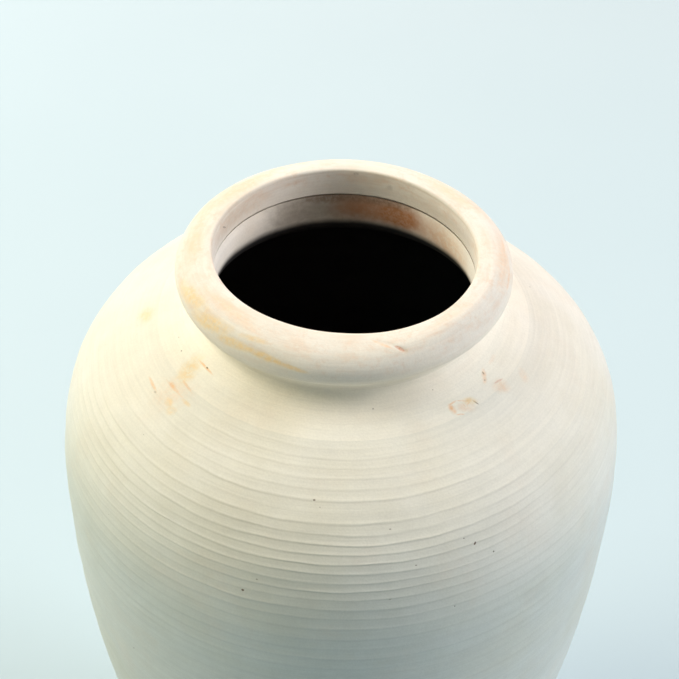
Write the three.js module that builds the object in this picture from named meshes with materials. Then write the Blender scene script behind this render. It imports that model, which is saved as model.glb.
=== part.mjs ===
// Stoneware vase with a rolled rim, thrown in sections that are luted together with slip.
// Millimetres, +Z up. The origin is on the vase's axis, at the bearing face of the foot.
import * as THREE from 'three';

// Driving dimensions
const HEIGHT = 242; // bearing face to the top of the lip
const MOUTH_RADIUS = 31; // inner edge of the lip
const RIM_RADIUS = 39.6; // outside of the rolled rim
const ROLL_HALF_HEIGHT = 5.4; // rolled rim, lip to its widest line
const WAIST_RADIUS = 36; // narrowest outside of the neck
const WAIST_DEPTH = 12.6; // below the lip, as every depth here
const SHOULDER_RADIUS = 45; // where the neck's fillet has run out into the shoulder
const SHOULDER_DEPTH = 19.2;
const SHOULDER_SLOPE = THREE.MathUtils.degToRad(61.6); // from the vertical, beside the neck
const BELLY_RADIUS = 71.1; // widest line of the body
const BELLY_DEPTH = 69.2;
const BASE_RADIUS = 43.2; // body where it stands on the base disc
const BASE_SLOPE = THREE.MathUtils.degToRad(14.6); // from the vertical, at the base disc
const FOOT_RADIUS = 40.4; // outside of the foot ring
const FOOT_INNER_RADIUS = 32.2;
const FOOT_HEIGHT = 6;
const FLOOR_THICKNESS = 6.7;

// Walls and seams
const WALL = 5.6; // body wall
const NECK_ROOT_WALL = 7; // thicker where the neck is luted to the shoulder
const SLIP_GAP = 0.3; // room for the slip in every seam
const RIDGE_HEIGHT = 1.3; // locating ridge cut on the lower face of a seam
const RIDGE_HALF_WIDTH = 1.5;
const MOUTH_SEAM_DEPTH = 8.1; // rim seam, seen inside the mouth
const MOUTH_SEAM_WIDENING = 0.3; // the mouth's band opens by this much down to its seam
const FOOT_EDGE_RADIUS = 1.2; // wiped edges of the foot ring
const LIP_EDGE = 0.25; // small break of the lip's inner edge
const ROLL_SETBACK = 1.1; // middle of the rim's roll, outwards from the mouth
const ROLL_UNDERCUT = THREE.MathUtils.degToRad(-35); // where the roll turns back in under the rim
const ROLL_END = THREE.MathUtils.degToRad(95);
const THROAT_BULGE = 1; // how far the throat swells into the mouth
const THROAT_BULGE_DEPTH = 17;

// How far each curve holds its direction at its two ends
const BODY_REACH_AT_BASE = 62;
const BODY_REACH_BELOW_BELLY = 64;
const BODY_REACH_ABOVE_BELLY = 30.6;
const SHOULDER_REACH = 23.7;
const INSIDE_SCALE = 0.86; // the shoulder's inside turns more tightly than its outside
const NECK_REACH_AT_SHOULDER = 6.8;
const NECK_REACH_AT_WAIST = 2;
const ROLL_REACH = 1.6;
const THROAT_REACH = 9.8;

// Fineness of the turned surfaces
const TURN_STEPS = 48;
const WALL_STEPS = 10;
const THROAT_STEPS = 7;
const FILLET_STEPS = 5;
const ROLL_STEPS = 12;

const point = (radius, height) => new THREE.Vector2(radius, height);
const below = (radius, depth) => point(radius, HEIGHT - depth);
const raised = (from, rise) => point(from.x, from.y + rise);

// A point a length away from another, downwards and outwards at an angle from the vertical.
function stepDown(from, slope, length) {
  return point(from.x + length * Math.sin(slope), from.y - length * Math.cos(slope));
}

function curve(start, startHandle, endHandle, end, steps) {
  return new THREE.CubicBezierCurve(start, startHandle, endHandle, end).getPoints(steps);
}

function arc(centre, radiusAcross, radiusUp, from, to, steps) {
  return new THREE.EllipseCurve(centre.x, centre.y, radiusAcross, radiusUp, from, to).getPoints(steps);
}

// A seam face from the wall's inside to its outside: flat land, V ridge in the middle, flat land.
// The upper section's face is the same line, lifted by the slip gap.
function seam(inside, outside, lift) {
  const across = outside.clone().sub(inside).normalize();
  const up = point(-across.y, across.x);
  const lower = inside.clone().addScaledVector(up, lift);
  const upper = outside.clone().addScaledVector(up, lift);
  const middle = lower.clone().lerp(upper, 0.5);
  return [
    lower,
    middle.clone().addScaledVector(across, -RIDGE_HALF_WIDTH),
    middle.clone().addScaledVector(up, RIDGE_HEIGHT),
    middle.clone().addScaledVector(across, RIDGE_HALF_WIDTH),
    upper,
  ];
}

const firedClay = (color, roughness) => new THREE.MeshStandardMaterial({ color, roughness, metalness: 0 });

// Turns a half section around the vase's axis. Its outline runs outwards along the bottom, up the
// outside, inwards along the top and down the inside.
function turned(name, outline, material) {
  const startsOnAxis = outline[0].x === 0;
  const points = startsOnAxis ? outline : [...outline, outline[0].clone()];
  const geometry = new THREE.LatheGeometry(points, TURN_STEPS);
  geometry.rotateX(Math.PI / 2);
  const mesh = new THREE.Mesh(geometry, material);
  mesh.name = name;
  return mesh;
}

// Points that neighbouring sections share, on the outside and on the inside of the wall
const discBottom = FOOT_HEIGHT + SLIP_GAP;
const floorHeight = discBottom + FLOOR_THICKNESS;
const mouthSeam = below(MOUTH_RADIUS + MOUTH_SEAM_WIDENING, MOUTH_SEAM_DEPTH);
const waist = below(WAIST_RADIUS, WAIST_DEPTH);
const shoulder = below(SHOULDER_RADIUS, SHOULDER_DEPTH);
const shoulderInside = stepDown(shoulder, SHOULDER_SLOPE - Math.PI / 2, NECK_ROOT_WALL);
const belly = below(BELLY_RADIUS, BELLY_DEPTH);
const bellyInside = point(BELLY_RADIUS - WALL, belly.y);
const base = point(BASE_RADIUS, floorHeight);
const baseInside = point(BASE_RADIUS - WALL / Math.cos(BASE_SLOPE), floorHeight);
const footSeamInside = point(FOOT_INNER_RADIUS, FOOT_HEIGHT);
const footSeamOutside = point(FOOT_RADIUS, FOOT_HEIGHT);

// Foot: a coil thrown onto the underside of the base disc, with wiped edges and a flat bearing face.
function footRing() {
  const wiped = (radius, from) =>
    arc(point(radius, FOOT_EDGE_RADIUS), FOOT_EDGE_RADIUS, FOOT_EDGE_RADIUS, from, from + Math.PI / 2,
      FILLET_STEPS);
  const innerEdge = wiped(FOOT_INNER_RADIUS + FOOT_EDGE_RADIUS, Math.PI);
  const outerEdge = wiped(FOOT_RADIUS - FOOT_EDGE_RADIUS, 1.5 * Math.PI);
  const top = seam(footSeamInside, footSeamOutside, 0).reverse();
  return turned('foot_ring', [...innerEdge, ...outerEdge, ...top], firedClay(0xc9a27c, 0.9));
}

// Floor of the vase: a disc whose rim carries the wall and whose underside takes the foot.
function baseDisc() {
  const underside = [point(0, discBottom), ...seam(footSeamInside, footSeamOutside, SLIP_GAP)];
  const edge = stepDown(base, -BASE_SLOPE, FLOOR_THICKNESS / Math.cos(BASE_SLOPE));
  const top = seam(baseInside, base, 0).reverse();
  const outline = [...underside, edge, ...top, point(0, floorHeight)];
  return turned('base_disc', outline, firedClay(0xcfc0a6, 0.9));
}

// Lower wall: from the base disc up to the seam at the widest line of the belly.
function lowerWall() {
  const bottom = seam(baseInside, base, SLIP_GAP);
  const top = seam(bellyInside, belly, 0).reverse();
  const flare = (from) => stepDown(from, -BASE_SLOPE, -BODY_REACH_AT_BASE);
  const upright = (from) => raised(from, -BODY_REACH_BELOW_BELLY);
  const outside = curve(bottom.at(-1), flare(base), upright(belly), belly, WALL_STEPS);
  const inside = curve(bellyInside, upright(bellyInside), flare(baseInside), bottom[0], WALL_STEPS);
  const outline = [...bottom, ...outside.slice(1, -1), ...top, ...inside.slice(1, -1)];
  return turned('lower_wall', outline, firedClay(0xd8d4cc, 0.85));
}

// Shoulder wall: from the belly seam up and over to the opening that the neck is luted to.
function shoulderWall() {
  const bottom = seam(bellyInside, belly, SLIP_GAP);
  const top = seam(shoulderInside, shoulder, 0).reverse();
  const outside = curve(bottom.at(-1), raised(belly, BODY_REACH_ABOVE_BELLY),
    stepDown(shoulder, SHOULDER_SLOPE, SHOULDER_REACH), shoulder, WALL_STEPS);
  const inside = curve(shoulderInside,
    stepDown(shoulderInside, SHOULDER_SLOPE, SHOULDER_REACH * INSIDE_SCALE),
    raised(bellyInside, BODY_REACH_ABOVE_BELLY * INSIDE_SCALE), bottom[0], WALL_STEPS);
  const outline = [...bottom, ...outside.slice(1, -1), ...top, ...inside.slice(1, -1)];
  return turned('shoulder_wall', outline, firedClay(0xe7dec9, 0.85));
}

// Neck collar: a short ring with a bevelled top that centres the rim, and a rounded throat inside.
function neckCollar() {
  const bottom = seam(shoulderInside, shoulder, SLIP_GAP);
  const fillet = curve(bottom.at(-1), stepDown(shoulder, SHOULDER_SLOPE, -NECK_REACH_AT_SHOULDER),
    raised(waist, -NECK_REACH_AT_WAIST), waist, FILLET_STEPS);
  const throat = curve(mouthSeam, below(MOUTH_RADIUS - THROAT_BULGE, THROAT_BULGE_DEPTH),
    stepDown(shoulderInside, SHOULDER_SLOPE, -THROAT_REACH), bottom[0], THROAT_STEPS);
  const outline = [...bottom, ...fillet.slice(1), ...throat.slice(0, -1)];
  return turned('neck_collar', outline, firedClay(0xdccbb0, 0.85));
}

// Rim: a rolled ring that sits over the collar's bevel, with a straight band inside the mouth.
function rimRing() {
  const bevel = waist.clone().sub(mouthSeam).normalize();
  const lift = point(-bevel.y, bevel.x).multiplyScalar(SLIP_GAP);
  const bevelInside = mouthSeam.clone().add(lift);
  const bevelOutside = waist.clone().add(lift);
  const rollCentre = below(MOUTH_RADIUS + ROLL_SETBACK, ROLL_HALF_HEIGHT);
  const rollHalfWidth = RIM_RADIUS - rollCentre.x;
  const roll = arc(rollCentre, rollHalfWidth, ROLL_HALF_HEIGHT, ROLL_UNDERCUT, ROLL_END, ROLL_STEPS);
  const rollHeading = roll[0].clone().sub(roll[1]).normalize();
  const underRoll = curve(bevelOutside, raised(bevelOutside, ROLL_REACH),
    roll[0].clone().addScaledVector(rollHeading, ROLL_REACH), roll[0], FILLET_STEPS);
  const outline = [bevelInside, ...underRoll, ...roll.slice(1), below(MOUTH_RADIUS, LIP_EDGE)];
  return turned('rim_ring', outline, firedClay(0xf2e9d6, 0.85));
}

const vase = new THREE.Group();
vase.add(footRing(), baseDisc(), lowerWall(), shoulderWall(), neckCollar(), rimRing());
export default vase;
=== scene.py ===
"""Stoneware vase with a rolled rim: the looks, built around the model of its six luted clay sections.

Every section is turned again as a fine mesh with its throwing rings, wheel marks and dents, and gets a
procedural clay material. Lengths are in millimetres until a mesh is made, and angles run round the axis
from the front, towards the right.
"""
import math
from typing import NamedTuple

import bpy
import numpy as np
from mathutils import Matrix, Vector


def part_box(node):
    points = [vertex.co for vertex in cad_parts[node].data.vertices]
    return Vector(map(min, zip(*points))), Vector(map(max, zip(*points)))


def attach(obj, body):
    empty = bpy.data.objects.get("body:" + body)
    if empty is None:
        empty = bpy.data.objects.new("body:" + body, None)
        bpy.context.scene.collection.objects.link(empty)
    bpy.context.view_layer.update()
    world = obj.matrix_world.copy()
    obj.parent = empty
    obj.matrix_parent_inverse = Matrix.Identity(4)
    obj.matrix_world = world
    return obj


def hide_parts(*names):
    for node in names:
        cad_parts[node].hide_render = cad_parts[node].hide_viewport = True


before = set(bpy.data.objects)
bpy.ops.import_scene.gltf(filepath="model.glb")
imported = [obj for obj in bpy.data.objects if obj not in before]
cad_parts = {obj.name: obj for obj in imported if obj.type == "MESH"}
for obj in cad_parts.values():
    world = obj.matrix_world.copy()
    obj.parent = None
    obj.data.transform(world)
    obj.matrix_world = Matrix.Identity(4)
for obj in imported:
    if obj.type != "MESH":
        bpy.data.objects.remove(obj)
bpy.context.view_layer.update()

MM = 0.001


# ---------------------------------------------------------------- dimensions
def reach(node, corner, axis):
    """One coordinate of a section's box in the frame: corner 0 is the lowest, 1 the highest."""
    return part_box(node)[corner][axis] / MM


LIP_HEIGHT = reach("rim_ring", 1, 2)
RIM_RADIUS = reach("rim_ring", 1, 0)
BELLY_RADIUS = reach("shoulder_wall", 1, 0)
BASE_RADIUS = reach("base_disc", 1, 0)
DISC_BOTTOM = reach("base_disc", 0, 2)
FOOT_RADIUS = reach("foot_ring", 1, 0)
MOUTH_RADIUS = 31.0
LIP_EDGE_DEPTH = 0.8   # where the lip's rounding meets the band inside the mouth
ROLL_HALF_HEIGHT = 5.4
ROLL_SETBACK = 1.1
ROLL_START, ROLL_END = 92, -35   # degrees across the roll, from its outermost line
WAIST_RADIUS, WAIST_DEPTH = 36.0, 12.6
SHOULDER_RADIUS, SHOULDER_DEPTH = 45.0, 19.2
SHOULDER_SLOPE = math.radians(61.6)
BELLY_DEPTH = 69.2
BASE_SLOPE = math.radians(14.6)
FLOOR_THICKNESS = 6.7
FOOT_INNER_RADIUS = 32.2
FOOT_ROUNDING = 1.2
FOOT_START = 240       # only sets where the waves on the foot fall
TRIMMING_PITCH, TRIMMING_RELIEF = 4.3, 0.13   # the tool's spiral under the base
WALL = 5.6
NECK_ROOT_WALL = 7.0
SLIP_GAP = 0.3
SHARP_FROM = math.radians(38)   # edges sharper than this stay crisp
RIDGE_HEIGHT, RIDGE_HALF_WIDTH = 1.3, 1.5
MOUTH_SEAM_DEPTH = 8.1

# Handle lengths of the outline's curves, at their upper and their lower end
NECK_HANDLES = (2, 6.8)
SHOULDER_HANDLES = (23.7, 30.6)
INNER_SHOULDER_HANDLES = (20.4, 26.3)
LOWER_HANDLES = (64, 62)
THROAT_HANDLE = 9.8

TURNS = 360                  # columns round the body
RIM_TURNS = 720              # columns round the rim, which is seen from nearest
ROLL_SWELL = 0.35            # the wiped roll is a little fuller than the section's box
MOUTH_SHIFT = (-0.4, 0.3)    # the rim was luted on slightly off the axis
RING_RELIEF = 0.115
LOW_RING_PITCH = 3.2
WIPED_RINGS = (6,)           # on the shoulder, counted from the neck
WIPED_RELIEF = 0.15          # how much of a wiped ring is left
GROOVE = (0.8, 0.95)         # the share of a ring's width where its undercut lies
SWELL_RELIEF = 0.035         # low swells on the skin

# The nick's long scratch and its deeper end: where each starts and ends, by the angle round the vase and the
# angle across the roll, and its width and depth
NICK = (((11, 82), (21, 52), 0.42, 0.22), ((19.4, 56), (21.6, 50), 0.45, 0.16))

# Waves round the vase: how many, their size, and their phase in radians
OUT_OF_ROUND = ((2, 0.14, 0.6), (3, 0.08, 2.1), (5, 0.05, 4))
LIP_WAVER = ((1, 0.3, math.radians(-55)), (2, 0.55, math.radians(-112)), (3, 0.3, math.radians(-150)))

rng = np.random.default_rng(7)


def at(radius, depth):
    """A point of the half section, by its radius and its depth below the lip."""
    return np.array([radius, LIP_HEIGHT - depth])


def down(slope, length):
    """A step of that length, outwards and downwards at an angle from the vertical."""
    return length * np.array([math.sin(slope), -math.cos(slope)])


def bend(start, start_handle, end_handle, end, steps=160):
    """Points of a cubic Bezier curve."""
    t = np.linspace(0, 1, steps + 1)[:, None]
    return ((1 - t) ** 3 * start + 3 * (1 - t) ** 2 * t * start_handle
            + 3 * (1 - t) * t ** 2 * end_handle + t ** 3 * end)


def smooth(low, high, value):
    """A smooth step from 0 at low to 1 at high."""
    t = np.clip((value - low) / (high - low), 0, 1)
    return t * t * (3 - 2 * t)


class Line:
    """A line in the half section, measured along its own length. Its outside is on its left-hand normal."""

    def __init__(self, *stretches):
        self.points = np.vstack([stretches[0]] + [s[1:] for s in stretches[1:]])
        steps = np.linalg.norm(np.diff(self.points, axis=0), axis=1)
        self.along = np.concatenate([[0], np.cumsum(steps)])
        slopes = np.gradient(self.points, self.along, axis=0)
        slopes /= np.linalg.norm(slopes, axis=1)[:, None]
        self.normals = np.stack([-slopes[:, 1], slopes[:, 0]], axis=1)
        self.length = self.along[-1]

    def place(self, s, lift):
        """Radius and height at each length s, moved out along the normal by lift."""
        r, z, nr, nz = (np.interp(s, self.along, column)
                        for column in (*self.points.T, *self.normals.T))
        return r + nr * lift, z + nz * lift


# ---------------------------------------------------------------- the half section
SEAM_IN_MOUTH = at(MOUTH_RADIUS + 0.3, MOUTH_SEAM_DEPTH)
BAND_FOOT = SEAM_IN_MOUTH + [0.15, 0.35]
THROAT_TOP = SEAM_IN_MOUTH + [0.25, 0]
WAIST = at(WAIST_RADIUS, WAIST_DEPTH)
SHOULDER = at(SHOULDER_RADIUS, SHOULDER_DEPTH)
SHOULDER_INSIDE = SHOULDER + down(SHOULDER_SLOPE - math.pi / 2, NECK_ROOT_WALL)
BELLY = at(BELLY_RADIUS, BELLY_DEPTH)
BELLY_INSIDE = BELLY - [WALL, 0]
BASE = np.array([BASE_RADIUS, DISC_BOTTOM + FLOOR_THICKNESS])
BASE_INSIDE = BASE - [WALL / math.cos(BASE_SLOPE), 0]
DISC_EDGE = BASE + down(-BASE_SLOPE, FLOOR_THICKNESS / math.cos(BASE_SLOPE))
UP = np.array([0, 1])


def roll_arc(start, end, steps=80):
    """The rim's roll, between two angles from its outermost line."""
    centre = at(MOUTH_RADIUS + ROLL_SETBACK, ROLL_HALF_HEIGHT)
    phi = np.radians(np.linspace(start, end, steps + 1))
    across = RIM_RADIUS + ROLL_SWELL - centre[0]
    return centre + np.stack([across * np.cos(phi), ROLL_HALF_HEIGHT * np.sin(phi)], axis=1)


def lip_outside():
    """From the band inside the mouth up over the lip's small rounding to the roll."""
    start = roll_arc(ROLL_START, ROLL_START, 0)[0]
    return Line(bend(at(MOUTH_RADIUS, LIP_EDGE_DEPTH), at(MOUTH_RADIUS, 0.25), start - [0.6, 0], start, 24))


def roll_outside():
    roll = roll_arc(ROLL_START, ROLL_END)
    heading = roll[-1] - roll[-2]
    heading /= np.linalg.norm(heading)
    return Line(roll, bend(roll[-1], roll[-1] + 1.6 * heading, WAIST + 1.6 * UP, WAIST, 40))


def neck_outside():
    upper, lower = NECK_HANDLES
    return Line(bend(WAIST, WAIST - upper * UP, SHOULDER + down(SHOULDER_SLOPE, -lower), SHOULDER))


def shoulder_outside():
    upper, lower = SHOULDER_HANDLES
    return Line(bend(SHOULDER, SHOULDER + down(SHOULDER_SLOPE, upper), BELLY + lower * UP, BELLY, 400))


def shoulder_inside():
    upper, lower = INNER_SHOULDER_HANDLES
    return Line(bend(BELLY_INSIDE, BELLY_INSIDE + lower * UP,
                     SHOULDER_INSIDE + down(SHOULDER_SLOPE, upper), SHOULDER_INSIDE))


def lower_outside():
    upper, lower = LOWER_HANDLES
    return Line(bend(BELLY, BELLY - upper * UP, BASE + down(-BASE_SLOPE, -lower), BASE, 600))


def lower_inside():
    upper, lower = LOWER_HANDLES
    return Line(bend(BASE_INSIDE, BASE_INSIDE + down(-BASE_SLOPE, -lower),
                     BELLY_INSIDE - upper * UP, BELLY_INSIDE))


def throat():
    return Line(bend(SHOULDER_INSIDE, SHOULDER_INSIDE + down(SHOULDER_SLOPE, -THROAT_HANDLE),
                     at(MOUTH_RADIUS - 1, 17), THROAT_TOP))


def seam(inside, outside, lift):
    """A seam face, inside to outside: flat land, V ridge, flat land. The outside corner is shared, so that
    the wiped skin of the vase is unbroken, and the rest of the upper face is lifted by the slip gap."""
    across = (outside - inside) / np.linalg.norm(outside - inside)
    up = np.array([-across[1], across[0]])
    middle = (inside + outside) / 2 + lift * up
    return np.array([inside + lift * up, middle - RIDGE_HALF_WIDTH * across, middle + RIDGE_HEIGHT * up,
                     middle + RIDGE_HALF_WIDTH * across, outside])


# ---------------------------------------------------------------- hand-made unevenness
def waves(angle, table):
    """A smooth line round the vase, from a table of its waves."""
    return sum(size * np.cos(m * angle + phase) for m, size, phase in table)


def harmonics(angle, orders, size):
    """A smooth random line round the vase."""
    return sum(size * rng.normal() / math.sqrt(m) * np.cos(m * angle + rng.uniform(0, 2 * math.pi))
               for m in orders)


def tremor(turns, width, size):
    """Unevenness from grit and fingertips, width columns wide."""
    near = np.minimum(np.arange(turns), turns - np.arange(turns))
    kernel = np.fft.rfft(np.exp(-0.5 * (near / width) ** 2))
    line = np.fft.irfft(np.fft.rfft(rng.normal(size=turns)) * kernel, turns)
    return size * line / line.std()


def out_of_round(angle, height):
    """How far the wheel-thrown wall is from a true circle, growing towards the rim."""
    shifted = smooth(LIP_HEIGHT - 24, LIP_HEIGHT - 11, height)
    return (height / LIP_HEIGHT * waves(angle, OUT_OF_ROUND)
            + shifted * (MOUTH_SHIFT[0] * np.sin(angle) - MOUTH_SHIFT[1] * np.cos(angle)))


# Each swell: waves round the vase, waves down it per millimetre in radians, phase and weight
SWELLS = [(m, 2 * math.pi / rng.uniform(9, 34), rng.uniform(0, 2 * math.pi), rng.normal() / (1 + 0.25 * m))
          for m in (1, 2, 3, 4, 5, 7, 9, 11, 13) for _ in range(2)]


def skin(angle, s):
    """Low swells left by hand and sponge on the wet skin, unbroken across the seams."""
    return SWELL_RELIEF * sum(w * np.cos(m * angle + k * s + p) for m, k, p, w in SWELLS)


class Rows:
    """The rows of one turned piece. Each column has a radius, a height, a length along the skin from the
    lip, a share of ring groove, and inner: 0 outside, 0.5 on the band in the mouth and 1 below it."""

    def __init__(self, turns):
        self.angle = np.arange(turns) * 2 * math.pi / turns
        self.radius, self.height, self.along, self.groove, self.inner = [], [], [], [], []

    def add(self, radius, height, along=0.0, groove=0.0, inner=0.0):
        flat = np.ones_like(self.angle)
        for rows, value in zip((self.radius, self.height, self.along, self.groove, self.inner),
                               (radius, height, along, groove, inner)):
            rows.append(value * flat)

    def add_points(self, points):
        for radius, height in points:
            self.add(radius, height)

    def add_line(self, line, spacing, relief=None, start=0.0, inner=0.0, ends=(True, True)):
        """Evenly spaced rows along a line, lifted by relief(angle, length)."""
        lengths = np.linspace(0, line.length, max(2, round(line.length / spacing)) + 1)
        lengths = lengths[0 if ends[0] else 1: None if ends[1] else -1]
        for s in lengths:
            lift = relief(self.angle, start + s) if relief else 0 * self.angle
            radius, height = line.place(s + 0 * self.angle, lift)
            self.add(radius, height, start + s, inner=inner)

    def add_rings(self, line, pitch, profile, relief, start, wiped=()):
        """Throwing rings down a wall, spaced by pitch(length). Each swells down to a lip and steps back in
        under it, as profile says in shares of its width and relief. The lines between rings wander a little
        round the vase, except at the two seams. The rings in wiped are nearly gone."""
        edges = [0.0]
        while edges[-1] < line.length:
            edges.append(edges[-1] + pitch(start + edges[-1]) * rng.uniform(0.975, 1.025))
        if line.length - edges[-2] < 0.5 * pitch(start + line.length):
            edges.pop()
        edges[-1] = line.length
        turns = len(self.angle)
        wander = [harmonics(self.angle, range(1, 14), 0.08) + tremor(turns, 2.0, 0.08) for _ in edges]
        wander[0] = wander[-1] = 0
        lines = [edge + away for edge, away in zip(edges, wander)]
        for k in range(len(edges) - 1):
            size = relief(start + edges[k]) * rng.uniform(0.85, 1.15) * (WIPED_RELIEF if k in wiped else 1)
            uneven = 1 + harmonics(self.angle, range(1, 11), 0.13)
            size = size * np.clip(uneven + tremor(turns, 2.5, 0.15), 0.1, 2)
            for u, rise in profile:
                s = lines[k] + u * (lines[k + 1] - lines[k])
                radius, height = line.place(s, size * rise + skin(self.angle, start + s))
                self.add(radius, height, start + s, groove=size / RING_RELIEF * (GROOVE[0] < u < GROOVE[1]))
        s = start + line.length
        radius, height = line.place(line.length + 0 * self.angle, skin(self.angle, s))
        self.add(radius, height, s)


def dent(co, normals, start, end, width, depth):
    """Presses a groove between two points into the vertices co, deepest towards its end."""
    along = end - start
    t = np.clip(((co - start) @ along) / (along @ along), 0, 1)
    away = np.linalg.norm(co - (start + t[:, None] * along), axis=1)
    press = depth * np.exp(-(away / width) ** 2) * (0.35 + 0.65 * t)
    return co - press[:, None] * normals


def strip(turns, first, pole, next_first, next_pole):
    """The faces between a row of vertices and the next one, by their first vertices. A pole has only one."""
    j = np.arange(turns)
    k = (j + 1) % turns
    if pole and next_pole:
        return []
    if pole:
        corners = (first + 0 * j, next_first + j, next_first + k)
    elif next_pole:
        corners = (first + j, next_first + 0 * j, first + k)
    else:
        corners = (first + j, next_first + j, next_first + k, first + k)
    return np.stack(corners, axis=1).tolist()


def turned(name, rows, shape=None):
    """A closed mesh object from rows, the last row joined to the first. A row of radius 0 becomes one point
    on the axis. shape, if any, moves the vertices."""
    radius, height = np.array(rows.radius), np.array(rows.height)
    angle = rows.angle
    turns = len(angle)
    poles = radius.max(axis=1) < 1e-6
    wobbly = np.where(poles[:, None], 0, radius + out_of_round(angle, height))
    grid = np.stack([wobbly * np.sin(angle), -wobbly * np.cos(angle), height], axis=2)
    first, co, faces, kept = [], [], [], []
    for i, row in enumerate(grid):
        first.append(len(kept))
        co.append(row[:1] if poles[i] else row)
        kept.extend([i * turns] if poles[i] else range(i * turns, (i + 1) * turns))
    for a in range(len(grid)):
        b = (a + 1) % len(grid)
        faces.extend(strip(turns, first[a], poles[a], first[b], poles[b]))
    mesh = bpy.data.meshes.new(name)
    mesh.from_pydata((np.vstack(co) * MM).tolist(), [], faces)
    mesh.update()
    if shape:
        normals = np.zeros(len(mesh.vertices) * 3)
        mesh.vertices.foreach_get("normal", normals)
        moved = shape(np.vstack(co), normals.reshape(-1, 3)) * MM
        mesh.vertices.foreach_set("co", moved.ravel())
        mesh.update()
    for label, values in (("along", rows.along), ("groove", rows.groove), ("inner", rows.inner)):
        attribute = mesh.attributes.new(label, "FLOAT", "POINT")
        attribute.data.foreach_set("value", np.array(values).ravel()[kept].astype(np.float32))
    mesh.polygons.foreach_set("use_smooth", np.ones(len(faces), bool))
    mesh.set_sharp_from_angle(angle=SHARP_FROM)
    piece = bpy.data.objects.new(name, mesh)
    bpy.context.collection.objects.link(piece)
    return piece


# ---------------------------------------------------------------- the six pieces
# Throwing rings: share of the ring's width downwards, and share of its relief
RING_PROFILE = ((0.0, 0.0), (0.28, 0.03), (0.52, 0.10), (0.65, 0.58), (0.75, 1.0), (0.83, 0.66),
                (0.92, 0.06))
LOW_RING_PROFILE = ((0.0, 0.0), (0.50, 0.10), (0.75, 1.0), (0.90, 0.06))
lip_length = lip_outside().length
neck_start = lip_length + roll_outside().length
shoulder_start = neck_start + neck_outside().length
lower_start = shoulder_start + shoulder_outside().length


def ring_relief(s):
    """How deep the throwing rings are at a length s from the lip: faint by the neck, crisp on the upper
    belly and softer lower down."""
    t = s - shoulder_start
    return RING_RELIEF * (0.35 + 0.65 * smooth(5, 16, t)) * (1 - 0.28 * smooth(38, 75, t))


def ring_pitch(s):
    """How far apart the throwing rings are at a length s from the lip."""
    t = s - shoulder_start
    return 2.3 + 0.15 * smooth(9, 12, t) - 0.3 * smooth(17, 22, t) + 1.2 * smooth(27, 50, t)


def soft_hand(size, ends_at=None, over=3.0):
    """Relief that a wet hand leaves on a wiped surface. It dies out towards the length ends_at."""
    slow = [(m, n, rng.uniform(0, 2 * math.pi), rng.normal()) for m in (1, 2, 3, 5, 8) for n in (0, 1, 2)]

    def relief(angle, s):
        fade = 1 if ends_at is None else smooth(ends_at, ends_at - over, s)
        return size * fade * sum(w / (m + n) * np.cos(m * angle + n * s * 0.45 + p) for m, n, p, w in slow)
    return relief


def on_rim(angle, across):
    """A point on the rim's roll: angle round the vase, and angle across the roll from its outermost line."""
    r, z = roll_arc(across, across, 0)[0]
    a = math.radians(angle)
    return np.array([r * math.sin(a), -r * math.cos(a), z])


def waver(co):
    """Moves the lip's inner edge in and out: the potter's finger didn't leave it quite round."""
    radius = np.hypot(co[:, 0], co[:, 1])
    out = waves(np.arctan2(co[:, 0], -co[:, 1]), LIP_WAVER)
    out = out * smooth(LIP_HEIGHT - MOUTH_SEAM_DEPTH, LIP_HEIGHT - 2, co[:, 2])
    out = out * (1 - smooth(MOUTH_RADIUS + 2, MOUTH_RADIUS + 7, radius))
    return co * np.stack([1 + out / radius, 1 + out / radius, np.ones(len(co))], axis=1)


def hand_finish(co, normals):
    """The uneven lip, and the nick in the front of the rim."""
    co = waver(co)
    for start, end, width, depth in NICK:
        co = dent(co, normals, on_rim(*start), on_rim(*end), width, depth)
    return co


def make_rim():
    rows = Rows(RIM_TURNS)
    fingers = soft_hand(0.09, neck_start, 8.0)

    def hand(angle, s):
        return fingers(angle, s) + skin(angle, s)

    rows.add_line(lip_outside(), 0.16, hand, ends=(True, False))
    rows.add_line(roll_outside(), 0.42, hand, start=lip_length)
    rows.add_line(Line(np.array([WAIST, BAND_FOOT])), 1.2, ends=(False, False))
    band = Line(np.array([BAND_FOOT, at(MOUTH_RADIUS + 0.1, 4), at(MOUTH_RADIUS, LIP_EDGE_DEPTH)]))
    rows.add_line(band, 0.4, soft_hand(0.05), inner=0.5, ends=(True, False))
    return turned("rim_ring_thrown", rows, shape=hand_finish)


def make_neck():
    rows = Rows(TURNS)
    rows.add_line(neck_outside(), 0.45, skin, start=neck_start)
    rows.add_points(seam(SHOULDER_INSIDE, SHOULDER, SLIP_GAP)[::-1][1:-1])
    rows.add_line(throat(), 0.5, soft_hand(0.06), inner=1.0)
    rows.add_line(Line(np.array([THROAT_TOP, WAIST])), 1.2, ends=(False, False))
    return turned("neck_collar_thrown", rows)


def make_shoulder():
    rows = Rows(TURNS)
    rows.add_rings(shoulder_outside(), ring_pitch, RING_PROFILE, ring_relief, shoulder_start, WIPED_RINGS)
    rows.add_points(seam(BELLY_INSIDE, BELLY, SLIP_GAP)[::-1][1:-1])
    rows.add_line(shoulder_inside(), 2.4, soft_hand(0.15), inner=1.0)
    rows.add_points(seam(SHOULDER_INSIDE, SHOULDER, 0)[1:-1])
    return turned("shoulder_wall_thrown", rows)


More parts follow.
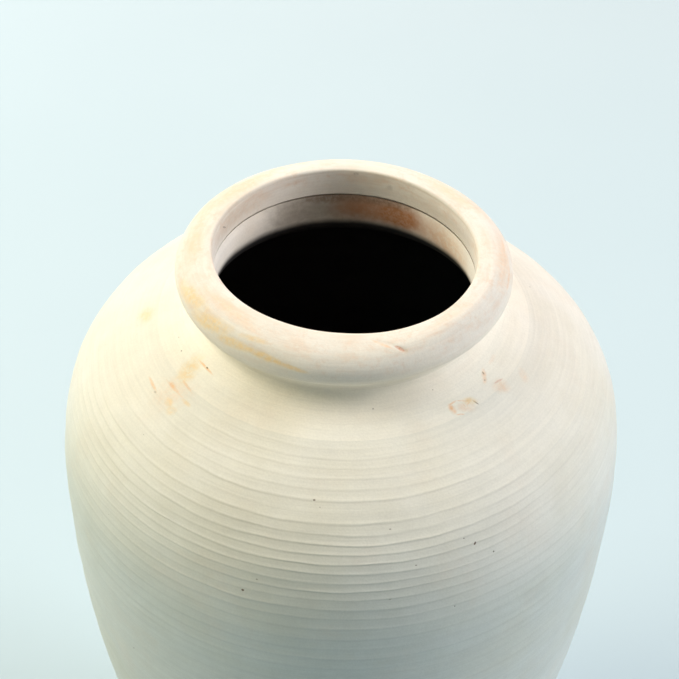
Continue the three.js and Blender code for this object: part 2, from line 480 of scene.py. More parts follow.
def make_lower():
    rows = Rows(TURNS)
    rows.add_rings(lower_outside(), lambda s: LOW_RING_PITCH, LOW_RING_PROFILE, ring_relief, lower_start)
    rows.add_points(seam(BASE_INSIDE, BASE, SLIP_GAP)[::-1][1:-1])
    rows.add_line(lower_inside(), 4.0, soft_hand(0.2), inner=1.0)
    rows.add_points(seam(BELLY_INSIDE, BELLY, 0)[1:-1])
    return turned("lower_wall_thrown", rows)


def foot_seam(lift):
    """The seam between the base disc and the foot ring."""
    return seam(np.array([FOOT_INNER_RADIUS, DISC_BOTTOM]), np.array([FOOT_RADIUS, DISC_BOTTOM]), lift)


def trimming(angle, s):
    """The spiral that the trimming tool left under the base."""
    return TRIMMING_RELIEF * np.sin(2 * math.pi * s / TRIMMING_PITCH + angle)


def make_base():
    rows = Rows(TURNS)
    rounded = DISC_EDGE + [0.5, 0.7]
    edge = Line(np.array([BASE, rounded]), bend(rounded, DISC_EDGE, DISC_EDGE, DISC_EDGE - [0.7, 0], 6))
    rows.add_line(edge, 0.6, skin, start=lower_start + lower_outside().length)
    rows.add_points(foot_seam(0)[::-1])
    centre = Line(np.array([[FOOT_INNER_RADIUS, DISC_BOTTOM], [0.0, DISC_BOTTOM]]))
    rows.add_line(centre, 0.8, trimming, ends=(False, True))
    rows.radius[-1] *= 0
    rows.add(0.0, BASE[1], inner=1.0)
    rows.add_line(Line(np.array([[0.0, BASE[1]], BASE_INSIDE])), 3.0, inner=1.0, ends=(False, True))
    rows.add_points(seam(BASE_INSIDE, BASE, 0)[1:-1])
    return turned("base_disc_turned", rows)


def foot_corner(radius, towards):
    """The rounding from a side of the foot ring down to the face it stands on. towards is the way from that
    side to the middle of the clay: -1 or 1."""
    return bend(np.array([radius, FOOT_ROUNDING]), np.array([radius, FOOT_ROUNDING / 3]),
                np.array([radius + towards * FOOT_ROUNDING / 2, 0]),
                np.array([radius + towards * FOOT_ROUNDING, 0]), 8)


def make_foot():
    rows = Rows(TURNS)
    top = foot_seam(-SLIP_GAP)
    outer_corner = foot_corner(FOOT_RADIUS, -1)
    outer = Line(bend(top[-1], top[-1] - 2 * UP, np.array([FOOT_RADIUS, 2.0]), outer_corner[0], 20),
                 outer_corner)
    rows.add_line(outer, 0.45, soft_hand(0.08), start=FOOT_START)
    rows.add_points(np.linspace([FOOT_RADIUS - 1.9, 0], [FOOT_INNER_RADIUS + 1.9, 0], 6))
    inner_corner = foot_corner(FOOT_INNER_RADIUS, 1)[::-1]
    inner = Line(inner_corner,
                 bend(inner_corner[-1], np.array([FOOT_INNER_RADIUS, 2.0]), top[0] - 1.5 * UP, top[0], 20))
    rows.add_line(inner, 0.6, soft_hand(0.08), ends=(True, False))
    rows.add_points(top[:-1])
    rows.height = [np.maximum(height, 0) for height in rows.height]  # rubbed flat where it stands
    return turned("foot_ring_turned", rows)


# ---------------------------------------------------------------- colours, linear
CREAM = (0.87, 0.825, 0.72)
# painted shade: the slip low on the body, darker and cooler for the dim, bluish light there
SHADED_LOW_SLIP = (0.62, 0.665, 0.64)
# painted light: paler than the body's cream, to lighten the shade that falls on the neck under the rim
NECK_SLIP = (0.93, 0.875, 0.76)
# painted shade: darker than the body's cream, to tone down the strong light on the rim
RIM_SLIP = (0.855, 0.79, 0.695)
# painted light: whiter than the body's cream, to brighten the band in the mouth, which gets little light
MOUTH_SLIP = (0.955, 0.895, 0.81)
CLOUD_TINT = (0.99, 0.96, 0.90)     # on the slip in soft clouds
STREAK_TINT = (1.0, 0.995, 0.98)    # on the slip along broad wheel marks
PINHOLE = (0.11, 0.09, 0.07)
PALE_GRAIN = (0.86, 0.72, 0.55)
GROG = (0.20, 0.12, 0.075)
TINTS = {
    "clay": (0.80, 0.56, 0.38),
    "foot": (0.58, 0.37, 0.23),
    "peach": (0.88, 0.65, 0.46),
    "ochre": (0.90, 0.66, 0.34),
    "orange": (0.88, 0.50, 0.23),
    "red": (0.66, 0.28, 0.15),
    "grey": (0.40, 0.345, 0.285),
    "rust": (0.42, 0.19, 0.088),
    "dark": (0.16, 0.10, 0.06),
    "dark_brown": (0.21, 0.13, 0.085),
    # painted shade: the near-black of the unlit inside
    "inside": (0.028, 0.027, 0.027),
}
# rust is a stain; grey is partly a stain and partly painted shade at the back of the throat
STAIN_AND_SHADE_TINTS = ("grey", "rust")
PAPER, PALE_PAPER = (0.49, 0.605, 0.65), (0.525, 0.64, 0.685)
BACKDROP = (0.72, 0.83, 0.84)       # how the far floor and the wall behind it look


def darkened(colour, shares):
    return tuple(c * share for c, share in zip(colour, shares))


# ---------------------------------------------------------------- materials
GROOVE_SHADE = 0.03        # painted shade: how much darker the slip is painted in a ring's undercut
PINHOLE_SPACING = 7.0
MARK_EDGE = 1.15           # how far out a mark ends, in halves of its length and width
MARK_THICKNESS = 4.0       # how far in and out of the skin a mark reaches
INSIDE_SHADE_EDGE = (14.8, 18.0)  # between these depths the painted shade of the inside fades in, at the back of the mouth
INSIDE_SHADE_TILT = 0.085         # and so much nearer the lip per millimetre towards the front


class Graph:
    """Short ways to wire a material's nodes. An input is a number, a colour or another node's output."""

    def __init__(self, name):
        self.material = bpy.data.materials.new(name)
        self.material.use_nodes = True
        self.tree = self.material.node_tree
        self.shader = self.tree.nodes["Principled BSDF"]

    def put(self, socket, value):
        if isinstance(value, bpy.types.NodeSocket):
            self.tree.links.new(value, socket)
        elif value is not None:
            socket.default_value = value

    def node(self, kind, inputs=(), **settings):
        node = self.tree.nodes.new(kind)
        for key, value in settings.items():
            setattr(node, key, value)
        for key, value in dict(inputs).items():
            self.put(node.inputs[key], value)
        return node

    def math(self, operation, a, b=None, clamp=False):
        return self.node("ShaderNodeMath", {0: a, 1: b}, operation=operation, use_clamp=clamp).outputs[0]

    def plus(self, a, b, clamp=False):
        return self.math("ADD", a, b, clamp)

    def minus(self, a, b):
        return self.math("SUBTRACT", a, b)

    def times(self, a, b):
        return self.math("MULTIPLY", a, b)

    def vector(self, x, y, z):
        return self.node("ShaderNodeCombineXYZ", {0: x, 1: y, 2: z}).outputs[0]

    def vector_math(self, operation, a, b=None, scale=None):
        node = self.node("ShaderNodeVectorMath", {0: a, 1: b, 3: scale}, operation=operation)
        return node.outputs["Value" if operation == "LENGTH" else "Vector"]

    def ramp(self, value, low, high, to_low=0.0, to_high=1.0):
        """A smooth step from to_low at low to to_high at high."""
        node = self.node("ShaderNodeMapRange", {0: value, 1: low, 2: high, 3: to_low, 4: to_high},
                         interpolation_type="SMOOTHSTEP")
        return node.outputs[0]

    def mix(self, factor, a, b, blend="MIX"):
        a, b = ((*colour, 1) if isinstance(colour, tuple) else colour for colour in (a, b))
        node = self.node("ShaderNodeMix", {0: factor, 6: a, 7: b}, data_type="RGBA", blend_type=blend)
        return node.outputs[2]

    def attribute(self, name):
        return self.node("ShaderNodeAttribute", attribute_name=name).outputs["Fac"]

    def noise(self, vector, size, detail=3.0, roughness=0.55):
        """Noise from 0 to 1 with features of that size in millimetres."""
        return self.node("ShaderNodeTexNoise", {"Vector": vector, "Scale": 1 / size, "Detail": detail,
                                                "Roughness": roughness}).outputs["Fac"]

    def millimetres(self):
        """The place on the object."""
        place = self.node("ShaderNodeTexCoord").outputs["Object"]
        return self.vector_math("SCALE", place, scale=1 / MM)

    def finish(self, colour, roughness, specular, height, strength, relief):
        """Wires the shader. relief is how high a height of 1 stands, in metres."""
        bump = self.node("ShaderNodeBump", {"Strength": strength, "Distance": relief, "Height": height})
        self.put(self.shader.inputs["Base Color"], colour)
        self.put(self.shader.inputs["Roughness"], roughness)
        self.put(self.shader.inputs["Specular IOR Level"], specular)
        self.put(self.shader.inputs["Normal"], bump.outputs[0])
        return self.material


class Slip(Graph):
    """The nodes of a cream slip over tan clay."""

    def __init__(self, name):
        super().__init__(name)
        self.mm = self.millimetres()
        self.x, self.y, self.z = self.node("ShaderNodeSeparateXYZ", {0: self.mm}).outputs
        self.along = self.attribute("along")
        wheel = self.vector(self.times(self.x, 0.03), self.times(self.y, 0.03), self.along)
        self.clouds = self.noise(self.mm, 34.0, 4)
        self.mottle = self.noise(self.mm, 6.0, 6, 0.62)
        self.grain = self.noise(self.mm, 0.5, 3, 0.65)
        self.streaks = self.noise(wheel, 0.7, 4, 0.65)
        self.broad_streaks = self.noise(wheel, 3.2, 3, 0.5)

    def slip_colour(self, cream, is_rim):
        """Creamier above, and painted darker and cooler down the body, as painted shade for the dim, bluish
        light there.
        """
        low_shade = self.plus(self.ramp(self.z, LIP_HEIGHT - 20, LIP_HEIGHT - 66),
                         self.times(self.minus(self.clouds, 0.5), 0.5), clamp=True)
        if is_rim:
            cream = self.mix(self.ramp(self.z, LIP_HEIGHT - 5, LIP_HEIGHT - 10), cream, NECK_SLIP)
        colour = self.mix(low_shade, cream, SHADED_LOW_SLIP)
        colour = self.mix(self.ramp(self.attribute("inner"), 0.2, 0.4), colour, MOUTH_SLIP)
        colour = self.mix(self.ramp(self.clouds, 0.40, 0.66, 0, 0.7), colour, CLOUD_TINT, "MULTIPLY")
        return self.mix(self.ramp(self.broad_streaks, 0.45, 0.7, 0, 0.5), colour, STREAK_TINT, "MULTIPLY")

    def shade(self):
        """The light and dark of the streaks, the mottle and the grain, and the painted shade in the rings'
        undercuts.
        """
        shade = self.ramp(self.streaks, 0.3, 0.7, 0.965, 1.015)
        shade = self.times(shade, self.ramp(self.mottle, 0.3, 0.7, 0.975, 1.015))
        shade = self.times(shade, self.ramp(self.grain, 0.3, 0.75, 0.96, 1.015))
        # painted shade: the slip is darkened in each ring's undercut
        shade = self.times(shade, self.minus(1.0, self.times(self.attribute("groove"), GROOVE_SHADE)))
        return self.vector(shade, shade, shade)

    def rubbed_through(self, thin, rub):
        """Adds the clay that shows where the rim was rubbed: streaks along the wheel, and flecks."""
        strokes = self.vector(self.times(self.x, 0.16), self.times(self.y, 0.16),
                              self.times(self.along, 0.5))
        rubbed = self.ramp(self.noise(strokes, 1.1, 6, 0.6), 0.42, 0.72)
        speckled = self.ramp(self.plus(self.times(self.grain, 0.5), self.mottle), 0.55, 0.95, 0.45, 1.0)
        thin = self.plus(thin, self.times(self.times(rubbed, speckled), rub), clamp=True)
        flecks = self.times(self.ramp(self.noise(self.mm, 1.7, 6, 0.72), 0.47, 0.68),
                            self.ramp(self.noise(self.mm, 9.0, 4), 0.36, 0.62, 0.25, 1.0))
        thin = self.plus(thin, self.times(flecks, 0.7 * rub), clamp=True)
        return self.times(thin, self.ramp(self.z, LIP_HEIGHT - 7.0, LIP_HEIGHT - 2.0, 0.2, 1.0))

    def wiped_off(self, thin, bare_below):
        """Adds the bare clay below a wavy line at the height bare_below."""
        wavy = self.plus(self.z, self.times(self.minus(self.noise(self.mm, 9.0, 3), 0.5), 3.0))
        return self.math("MAXIMUM", thin, self.ramp(wavy, bare_below + 0.35, bare_below - 0.35))

    def pinholes(self):
        """Where burst bubbles left pinholes."""
        cell = self.node("ShaderNodeTexVoronoi", {"Vector": self.mm, "Scale": 1 / PINHOLE_SPACING})
        size = self.ramp(cell.outputs["Color"], 0.35, 1.0, 0.0, 0.052)
        return self.ramp(self.minus(cell.outputs["Distance"], size), 0.0, -0.02)

    def mark_mask(self, wobble, mark):
        """Where one mark is: an ellipse on the skin, its edge bent by wobble."""
        place, turn = mark_frame(mark)
        size = (mark.length / 2, mark.width / 2, MARK_THICKNESS)
        local = self.node("ShaderNodeMapping", {"Vector": self.mm, "Location": place, "Rotation": turn,
                                                "Scale": size}, vector_type="TEXTURE").outputs[0]
        bent = self.vector_math("ADD", local, self.vector_math("SCALE", wobble, scale=mark.ragged))
        away = self.vector_math("LENGTH", bent)
        return self.times(self.ramp(away, MARK_EDGE, MARK_EDGE - mark.soft), mark.strength)

    def paint_marks(self, colour, marks):
        """The colour with the marks painted over it, and a mask of where they are."""
        bared = 0.0
        if not marks:
            return colour, bared
        noise = self.node("ShaderNodeTexNoise", {"Vector": self.mm, "Scale": 0.6, "Detail": 4.0})
        wobble = self.vector_math("SUBTRACT", noise.outputs["Color"], (0.5, 0.5, 0.5))
        broken = self.ramp(self.plus(self.noise(self.mm, 1.3, 4, 0.7), self.times(self.grain, 0.3)),
                           0.48, 0.78, 0.25, 1.0)
        for tint in dict.fromkeys(mark.tint for mark in marks):
            cover = 0.0
            for mark in marks:
                if mark.tint == tint:
                    cover = self.plus(cover, self.mark_mask(wobble, mark), clamp=True)
            if tint in STAIN_AND_SHADE_TINTS:
                cover = self.times(cover, self.ramp(broken, 0.25, 1.0, 0.9, 1.0))
            elif tint != "dark":
                cover = self.times(cover, self.ramp(broken, 0.25, 1.0, 0.45, 1.0))
            colour = self.mix(cover, colour, TINTS[tint])
            bared = self.plus(bared, cover, clamp=True)
        return colour, bared

    def paint_mouth(self, colour):
        """The dark line in the mouth's seam, and the near-black inside below the throat: painted shade for
        the unlit inside. Its soft edge lies deeper at the back."""
        inner = self.attribute("inner")
        depth = self.minus(LIP_HEIGHT, self.z)
        off_seam = self.math("ABSOLUTE", self.minus(depth, MOUTH_SEAM_DEPTH - 0.1))
        dark_brown = self.times(self.ramp(off_seam, 0.38, 0.12), self.ramp(inner, 0.2, 0.4))
        patchy = self.times(self.ramp(self.noise(self.mm, 13.0, 3), 0.35, 0.62, 0.3, 0.95),
                            self.ramp(self.x, -27.0, -8.0, 0.3, 1.0))
        colour = self.mix(self.times(dark_brown, patchy), colour, TINTS["dark_brown"])
        uneven = self.times(self.minus(self.noise(self.mm, 9.0, 3), 0.5), 1.2)
        tilt = self.times(self.minus(MOUTH_RADIUS, self.y), INSIDE_SHADE_TILT)
        shade_depth = self.plus(self.plus(depth, uneven), tilt)
        # painted shade: the inside below the throat turns near-black
        dark = self.times(self.ramp(shade_depth, *INSIDE_SHADE_EDGE), self.math("GREATER_THAN", inner, 0.75))
        return self.mix(dark, colour, TINTS["inside"])


def slipped_clay(name, cream, wear=0.10, rub=0.0, marks=(), bare_below=None):
    """Cream slip over tan clay. wear is how much clay shows through thin slip in soft clouds, and rub how
    much of it shows where the rim was rubbed. The slip ends at the height bare_below, wiped off the foot."""
    slip = Slip(name)
    colour = slip.slip_colour(cream, is_rim=rub > 0)
    thin = slip.times(slip.ramp(slip.noise(slip.mm, 14.0, 7, 0.62), 0.48, 0.78), wear)
    clay = TINTS["clay"]
    if rub:
        thin = slip.rubbed_through(thin, rub)
    if bare_below is not None:
        thin = slip.wiped_off(thin, bare_below)
        clay = TINTS["foot"]
    colour = slip.mix(thin, colour, slip.mix(slip.mottle, clay, darkened(clay, (0.88, 0.78, 0.68))))
    colour, bared = slip.paint_marks(colour, marks)
    colour = slip.mix(1.0, colour, slip.shade(), "MULTIPLY")
    pinhole = slip.pinholes()
    colour = slip.mix(slip.times(pinhole, 0.8), colour, PINHOLE)
    colour = slip.paint_mouth(colour)

    bare = slip.plus(thin, bared, clamp=True)
    roughness = slip.ramp(slip.plus(slip.mottle, bare), 0.3, 1.2, 0.76, 0.94)
    height = slip.plus(slip.times(slip.streaks, 0.5), slip.times(slip.grain, 0.5))
    height = slip.minus(height, slip.times(pinhole, 2.0))
    height = slip.minus(height, slip.times(bare, 0.4))
    return slip.finish(colour, roughness, 0.28, height, strength=0.6, relief=0.00012)


def bare_clay(name, clay):
    """Unglazed tan clay with grog."""
    g = Graph(name)
    mm = g.millimetres()
    clouds = g.noise(mm, 15.0, 5, 0.6)
    grain = g.noise(mm, 0.6, 4, 0.65)
    grog = g.node("ShaderNodeTexVoronoi", {"Vector": mm, "Scale": 1 / 1.3})
    speck = g.times(g.ramp(grog.outputs["Distance"], 0.22, 0.12), g.ramp(grog.outputs["Color"], 0.62, 0.66))
    colour = g.mix(g.ramp(clouds, 0.35, 0.65), clay, darkened(clay, (0.82, 0.74, 0.66)))
    colour = g.mix(g.ramp(grain, 0.35, 0.75, 0, 0.35), colour, PALE_GRAIN)
    colour = g.mix(g.times(speck, 0.7), colour, GROG)
    height = g.plus(g.times(grain, 0.8), g.times(clouds, 0.4))
    return g.finish(colour, g.ramp(grain, 0.3, 0.8, 0.82, 0.96), 0.25, height, strength=0.7, relief=0.0002)


# ---------------------------------------------------------------- marks on the slip
class Mark(NamedTuple):
    """A worn or stained spot, or a patch of painted shade: angle round the vase, depth below the lip,
    length, width, and its turn from the line of the wheel. soft is how wide its edge is, as a share, and
    ragged how uneven."""
    tint: str
    angle: float
    depth: float
    length: float
    width: float
    turn: float = 0
    strength: float = 0.6
    soft: float = 0.6
    ragged: float = 0.5
    inside: bool = False


# The outside from the top of the roll to the belly
SKIN = Line(roll_arc(90, ROLL_END), neck_outside().points, shoulder_outside().points)


def mark_frame(mark):
    """Place and turn of a mark: local X runs round the vase and local Y up its skin, before the turn."""
    a = math.radians(mark.angle)
    outward = Vector((math.sin(a), -math.cos(a), 0))
    across = Vector((math.cos(a), math.sin(a), 0))
    r, nr, nz = MOUTH_RADIUS, 1, 0
    if not mark.inside:
        s = np.interp(mark.depth, LIP_HEIGHT - SKIN.points[:, 1], SKIN.along)
        r, nr, nz = (np.interp(s, SKIN.along, column) for column in (SKIN.points[:, 0], *SKIN.normals.T))
    normal = (outward * nr + Vector((0, 0, nz))).normalized()
    turned_by = Matrix.Rotation(math.radians(mark.turn), 3, "Z")
    axes = Matrix((across, normal.cross(across), normal)).transposed() @ turned_by
    return outward * r + Vector((0, 0, LIP_HEIGHT - mark.depth)), axes.to_euler()


RIM_MARKS = [
    Mark("orange", 14.5, 0.35, 6.5, 0.8, -38, 0.45, ragged=0.3),
    Mark("red", 19.8, 0.9, 2.6, 0.9, -40, 0.85, ragged=0.3),
    Mark("ochre", -37.3, 3.4, 11.0, 2.6, 6, 0.78, 0.8),
    Mark("ochre", -26.0, 3.3, 10.0, 2.0, -3, 0.90, 0.8),
    Mark("ochre", -16.5, 4.0, 9.0, 1.3, -7, 0.75, 0.8),
    Mark("ochre", -31.2, 1.4, 9.0, 1.6, 7, 0.60, 0.9),
    Mark("ochre", -49.5, 2.8, 15.0, 4.4, 14, 0.85, 0.9),
    Mark("ochre", -64.0, 2.2, 17.0, 5.2, 10, 0.80, 1.0),
    Mark("peach", -48.0, 0.3, 26.0, 3.8, 0, 0.75, 1.0),
    Mark("peach", -95.0, 0.5, 28.0, 5.4, 0, 0.75, 1.0),
    Mark("peach", -132.0, 0.3, 38.0, 6.2, 0, 0.85, 1.0),
    Mark("peach", 46.0, 0.1, 24.0, 3.6, 2, 0.45, 1.0),
    Mark("peach", 88.0, 1.1, 28.0, 4.6, 0, 0.70, 1.0),
    Mark("orange", 80.0, 2.6, 11.0, 1.1, 6, 0.42, 1.0),
    Mark("orange", 96.0, 1.6, 10.0, 0.9, -4, 0.38, 1.0),
    Mark("peach", 132.0, 0.3, 34.0, 5.6, 0, 0.80, 1.0),
    Mark("dark_brown", -111.0, 3.8, 2.6, 0.5, 40, 0.70, ragged=0.8, inside=True),
    Mark("peach", -120.0, 4.0, 36.0, 8.0, 0, 0.50, 1.1, inside=True),
    Mark("dark_brown", 176.0, 1.2, 1.6, 0.9, 0, 0.35, inside=True),
    Mark("grey", 160.0, 3.8, 2.2, 2.4, 0, 0.30, 0.9, inside=True),
    Mark("grey", 243.0, 4.0, 30.0, 9.0, 0, 0.25, 1.0, inside=True),
    Mark("grey", 110.0, 4.0, 24.0, 8.0, 0, 0.20, 1.1, inside=True),
]
SCUFFS = [
    # the group left of the front
    Mark("orange", -51.4, 16.5, 6.8, 0.6, -2, 0.75, ragged=0.3),
    Mark("dark", -50.6, 16.45, 0.7, 0.4, 0, 0.85, ragged=0.2),
    Mark("orange", -53.9, 20.6, 7.6, 0.9, 0, 0.80, 0.8, 0.4),
    Mark("orange", -55.0, 20.4, 3.0, 1.0, 0, 0.60, 0.8),
    Mark("orange", -51.2, 19.4, 5.2, 0.8, -8, 0.55, 0.8),
    Mark("orange", -60.2, 22.3, 6.0, 0.9, -6, 0.60, 0.8),
    Mark("dark", -57.6, 22.6, 1.1, 0.7, 14, 0.35, 0.9),
    Mark("ochre", -51.9, 22.1, 3.0, 2.2, 10, 0.75, 0.9, 0.9),
    Mark("ochre", -49.5, 22.6, 3.6, 3.2, 60, 0.55, 1.0, 0.9),
    Mark("ochre", -47.2, 20.8, 3.8, 1.2, 0, 0.60, 0.9),
    Mark("ochre", -55.2, 18.0, 10.0, 6.0, 99, 0.75, 1.0, 0.8),
    Mark("peach", -53.0, 21.0, 15.0, 10.0, 40, 0.45, 1.1, 0.9),
    Mark("ochre", -87.5, 20.9, 7.0, 5.0, 20, 0.60, 1.0),
    # the group right of the front
    Mark("orange", 35.5, 18.1, 3.0, 1.9, -85, 0.80, 0.9, 0.6),
    Mark("orange", 36.8, 17.5, 2.4, 0.5, 5, 0.50),
    Mark("orange", 40.5, 17.9, 3.8, 0.45, -29, 0.50),
    Mark("orange", 36.8, 19.0, 2.3, 0.4, -21, 0.50),
    Mark("orange", 39.6, 18.3, 1.3, 0.35, -86, 0.50),
    Mark("ochre", 42.1, 18.2, 4.2, 2.2, -28, 0.75, 0.9, 0.6),
    Mark("orange", 41.1, 18.4, 1.5, 0.35, 18, 0.50),
    Mark("dark", 43.5, 18.7, 1.8, 0.36, -67, 0.65),
    Mark("peach", 39.6, 18.6, 6.2, 2.8, -28, 0.55, 0.9),
    Mark("orange", 52.7, 17.0, 4.6, 1.7, -134, 0.55, 1.0, 0.7),
    Mark("dark", 53.2, 16.7, 0.9, 0.5, -103, 0.50),
    Mark("dark", 51.6, 17.4, 0.6, 0.4, 0, 0.40),
    Mark("red", 55.3, 18.5, 3.4, 0.5, -13, 0.45),
    Mark("peach", 54.5, 19.1, 5.8, 4.4, -38, 0.65, 1.0),
    Mark("peach", 60.4, 16.4, 4.0, 1.4, 8, 0.40, 1.0),
    Mark("peach", 63.9, 20.3, 3.2, 4.6, -38, 0.45, 1.0),
    # stray pits
    Mark("dark", 10.5, 15.7, 0.5, 0.35, 0, 0.55),
    Mark("dark", -63.6, 17.5, 0.5, 0.4, 0, 0.60),
    Mark("dark", -69.7, 17.1, 0.35, 0.3, 0, 0.45),
    Mark("dark", 32.6, 15.2, 0.4, 0.3, 0, 0.45),
    Mark("dark", 27.4, 36.6, 0.9, 0.55, 60, 0.90, 0.5, 0.2),
    Mark("dark", -17.5, 45.5, 0.7, 0.6, 0, 0.90, 0.5, 0.2),
    Mark("dark", -5.5, 26.3, 0.6, 0.45, 0, 0.75, 0.5, 0.2),
    Mark("dark", -4.1, 27.2, 0.4, 0.3, 0, 0.40),
    Mark("dark", 10.6, 30.6, 0.55, 0.4, 0, 0.45),
    Mark("dark", 15.0, 37.8, 0.5, 0.4, 0, 0.55),
    Mark("dark", 9.8, 44.9, 0.7, 0.4, 0, 0.40),
    Mark("dark", -15.0, 41.9, 0.6, 0.4, 0, 0.50),
]
THROAT_MARKS = [
    # painted shade: the grey patches darken the back of the throat, under the seam and towards the dark
    # inside; the rust and peach are stains
    Mark("grey", 193.0, 11.0, 50.0, 17.0, 0, 0.95, 1.0, inside=True),
    Mark("rust", 165.0, 12.0, 34.0, 12.0, 0, 0.92, 0.9, 0.2, inside=True),
    Mark("rust", 143.0, 12.5, 28.0, 12.0, 0, 0.45, 1.1, 0.2, inside=True),
    Mark("grey", 174.0, 8.3, 44.0, 5.0, 0, 0.60, 1.1, inside=True),
    Mark("grey", 180.0, 18.5, 60.0, 6.0, 0, 0.65, 1.1, inside=True),
    Mark("peach", 126.0, 13.0, 32.0, 12.0, 0, 0.85, 1.1, 0.2, inside=True),
    # painted shade: a dark brown band just under the seam
    Mark("dark_brown", 174.0, 8.9, 84.0, 3.6, 0, 0.75, 1.1, 0.2, inside=True),
]


def between(marks, top, bottom):
    """The marks that reach well into a band of depths."""
    kept = []
    for mark in marks:
        turn = math.radians(mark.turn)
        spread = 0.35 * (abs(math.sin(turn)) * mark.length + abs(math.cos(turn)) * mark.width)
        if mark.depth + spread > top and mark.depth - spread < bottom:
            kept.append(mark)
    return kept


NECK_MARKS = between(SCUFFS, WAIST_DEPTH, SHOULDER_DEPTH) + THROAT_MARKS
SHOULDER_MARKS = between(SCUFFS, SHOULDER_DEPTH, BELLY_DEPTH)
BARE_BAND = 3.4   # how far up the base disc the slip was wiped off

FINISHES = {
    "rim": slipped_clay("rim_slip", RIM_SLIP, wear=0.14, rub=0.40, marks=RIM_MARKS),
    "neck": slipped_clay("neck_slip", NECK_SLIP, wear=0.12, marks=NECK_MARKS),
    "shoulder": slipped_clay("shoulder_slip", CREAM, marks=SHOULDER_MARKS),
    "body": slipped_clay("body_slip", CREAM),
    "base": slipped_clay("base_slip", CREAM, wear=0.2, bare_below=DISC_BOTTOM + BARE_BAND),
    "foot": bare_clay("foot_clay", TINTS["foot"]),
}

# ---------------------------------------------------------------- assembly
for make, finish, node, slot in (
    (make_rim, "rim", "rim_ring", "slipped_rim"),
    (make_neck, "neck", "neck_collar", "slipped_neck"),
    (make_shoulder, "shoulder", "shoulder_wall", "slipped_body"),
    (make_lower, "body", "lower_wall", "slipped_body"),
    (make_base, "base", "base_disc", "bare_clay"),
    (make_foot, "foot", "foot_ring", "bare_clay"),
):
    piece = make()
    piece.data.materials.append(FINISHES[finish])
    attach(piece, "root")
    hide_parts(node)


# ---------------------------------------------------------------- floor, light and camera
AMBIENT = 0.15                       # how much light the room itself gives
FLOOR_RADIUS = 3.0                   # metres
FAR_FLOOR = (720, 1250, 0, 0.85)     # from and to how far out the floor turns pale, and how pale
LAMP_DISTANCE = 1.4                  # metres
LENS = 79.5
CAMERA_PLACE = Vector((0, -8.963, 6.950))   # from the middle of the mouth, in mouth radii
PITCH, YAW, ROLL = math.radians(41.34), math.radians(-0.19), math.radians(-1.35)


def make_floor():
    """Pale blue paper. Far from the vase the camera sees it as pale as the wall, but it gives no light."""
    g = Graph("floor_paper")
    mm = g.millimetres()
    g.put(g.shader.inputs["Base Color"], g.mix(g.noise(mm, 240.0, 2), PAPER, PALE_PAPER))
    g.put(g.shader.inputs["Roughness"], 0.85)
    far = g.ramp(g.vector_math("LENGTH", mm), *FAR_FLOOR)
    seen = g.node("ShaderNodeLightPath").outputs["Is Camera Ray"]
    g.put(g.shader.inputs["Emission Color"], (*BACKDROP, 1))
    g.put(g.shader.inputs["Emission Strength"], g.times(far, seen))
    edge = [(FLOOR_RADIUS * math.cos(a), FLOOR_RADIUS * math.sin(a), 0)
            for a in np.linspace(0, 2 * math.pi, 96, endpoint=False)]
    mesh = bpy.data.meshes.new("floor")
    mesh.from_pydata(edge, [], [range(len(edge))])
    mesh.materials.append(g.material)
    floor = bpy.data.objects.new("floor", mesh)
    bpy.context.collection.objects.link(floor)


def make_room():
    """Dim even light from all round, in a room whose wall looks pale."""
    world = bpy.data.worlds.new("studio")
    world.use_nodes = True
    tree = world.node_tree
    ambient = tree.nodes["Background"]
    ambient.inputs["Color"].default_value = (1.0, 1.0, 1.0, 1)
    ambient.inputs["Strength"].default_value = AMBIENT
    wall = tree.nodes.new("ShaderNodeBackground")
    wall.inputs["Color"].default_value = (*BACKDROP, 1)
    path = tree.nodes.new("ShaderNodeLightPath")
    mix = tree.nodes.new("ShaderNodeMixShader")
    tree.links.new(path.outputs["Is Camera Ray"], mix.inputs[0])
    tree.links.new(ambient.outputs[0], mix.inputs[1])
    tree.links.new(wall.outputs[0], mix.inputs[2])
    tree.links.new(mix.outputs[0], tree.nodes["World Output"].inputs["Surface"])
    bpy.context.scene.world = world


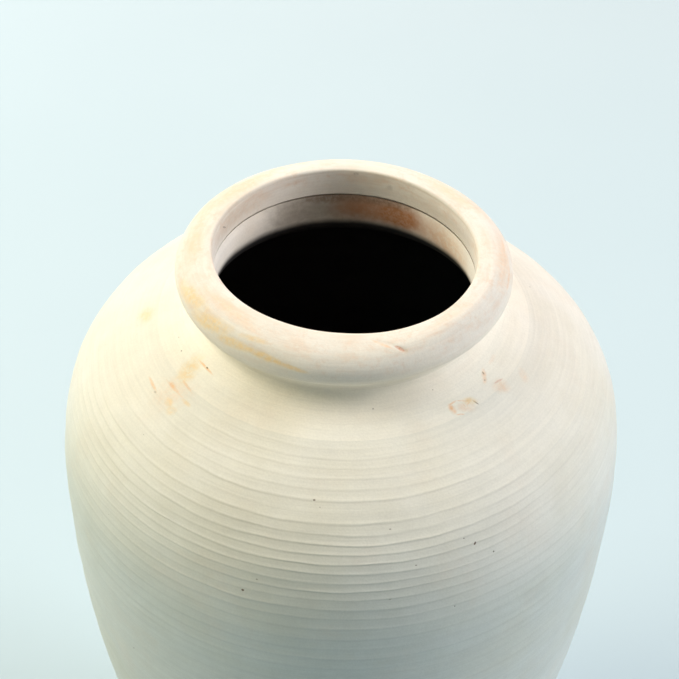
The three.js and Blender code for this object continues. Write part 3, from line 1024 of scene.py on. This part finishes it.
def area_light(name, azimuth, elevation, power, colour, size=0.8):
    """A soft box aimed at the vase's shoulder. Azimuth 0 is in front of it and 90 to its right."""
    a, e = math.radians(azimuth), math.radians(elevation)
    target = Vector((0, 0, LIP_HEIGHT * 0.8 * MM))
    towards = Vector((math.sin(a) * math.cos(e), -math.cos(a) * math.cos(e), math.sin(e)))
    light = bpy.data.lights.new(name, "AREA")
    light.shape = "DISK"
    light.size = size
    light.energy = power
    light.color = colour
    lamp = bpy.data.objects.new(name, light)
    lamp.location = target + LAMP_DISTANCE * towards
    lamp.rotation_euler = (-towards).to_track_quat("-Z", "Y").to_euler()
    bpy.context.collection.objects.link(lamp)


def make_camera():
    """The viewpoint above the mouth, with the frame turned a little about the line of sight."""
    forward = Vector((math.sin(YAW) * math.cos(PITCH), math.cos(YAW) * math.cos(PITCH), -math.sin(PITCH)))
    level = Vector((math.cos(YAW), -math.sin(YAW), 0))
    below = forward.cross(level)
    right = math.cos(ROLL) * level + math.sin(ROLL) * below
    up = math.sin(ROLL) * level - math.cos(ROLL) * below
    data = bpy.data.cameras.new("camera")
    data.lens = LENS
    camera = bpy.data.objects.new("camera", data)
    place = (Vector((0, 0, LIP_HEIGHT)) + MOUTH_RADIUS * CAMERA_PLACE) * MM
    camera.matrix_world = Matrix.Translation(place) @ Matrix((right, up, -forward)).transposed().to_4x4()
    bpy.context.collection.objects.link(camera)
    bpy.context.scene.camera = camera


make_floor()
area_light("back", 180, 25, 7.6, (1.0, 0.74, 0.635))
area_light("back_left", 225, 25, 8.5, (0.88, 0.95, 1.0))
area_light("left_low", 270, 25, 3.3, (1.0, 0.73, 0.16))
area_light("left", 270, 45, 12.4, (1.0, 0.975, 0.87))
area_light("front_left", 315, 45, 0.5, (0.17, 1.0, 0.86))
area_light("right", 90, 25, 12.6, (0.985, 0.985, 1.0))
area_light("right_high", 90, 45, 3.3, (0.94, 0.91, 1.0))
area_light("spot", 120, 68, 1.6, (0.71, 0.90, 1.0), 0.25)
make_room()
bpy.context.scene.view_settings.view_transform = "Standard"
make_camera()
